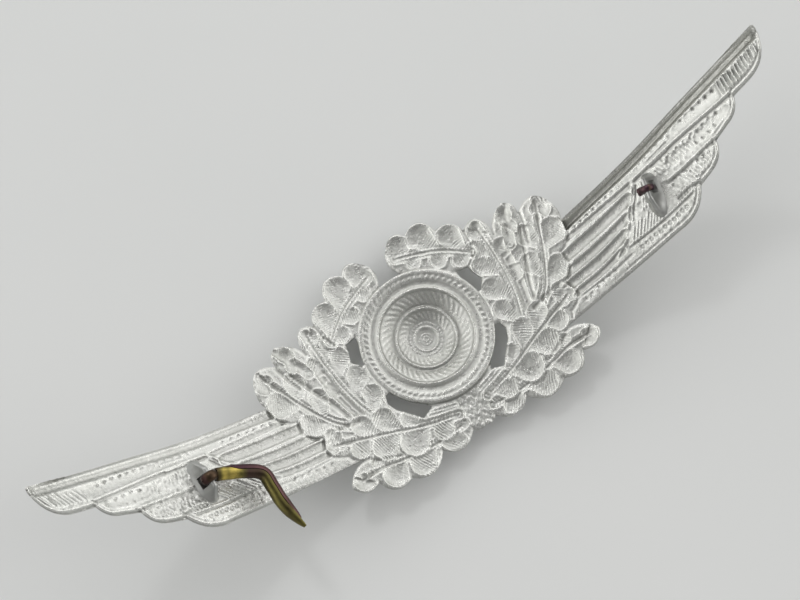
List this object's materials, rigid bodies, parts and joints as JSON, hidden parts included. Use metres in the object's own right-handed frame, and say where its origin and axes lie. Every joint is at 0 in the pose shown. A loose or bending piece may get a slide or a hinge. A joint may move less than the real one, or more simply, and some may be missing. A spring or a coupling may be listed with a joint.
{
  "type": "wings and wreath cap insignia",
  "caption": "Curved stamped-aluminium cap insignia, back view: oak-leaf wreath, ringed cockade and swept wings, with rear lugs, a swinging brass split pin and a snapped stub.",
  "frame": {"origin": "centre of the cockade, in the plane of its flat back rim", "axes": "+X along the wing span, to the right when the back is seen with the wreath's open top up; +Y towards the top of the wreath; +Z out of the back, towards the cap"},
  "size_m": [0.117, 0.0334, 0.0316],
  "materials": {
    "struck_aluminium": "bright satin, die-struck back",
    "lug_aluminium": "satin, worked by hand",
    "aged_brass": "aged, olive and purple-brown patina with a few bright rubs"
  },
  "bodies": {
    "badge": {"wreath_and_wings": "struck_aluminium", "left_lug": "lug_aluminium", "right_lug": "lug_aluminium"},
    "left_pin": {"left_split_pin": "aged_brass"},
    "right_stub": {"right_pin_stub": "aged_brass"}
  },
  "joints": [
    {"name": "left_pin_swing", "type": "hinge", "parent": "badge", "child": "left_pin", "pos_m": [-0.03781, -0.00225, 0.01228], "axis": [0, -1, 0], "range_deg": [-8, 150]},
    {"name": "right_stub_swing", "type": "hinge", "parent": "badge", "child": "right_stub", "pos_m": [0.03698, -0.00139, 0.01178], "axis": [0.2082, 0.9703, 0.1232], "range_deg": [-15, 120]}
  ]
}
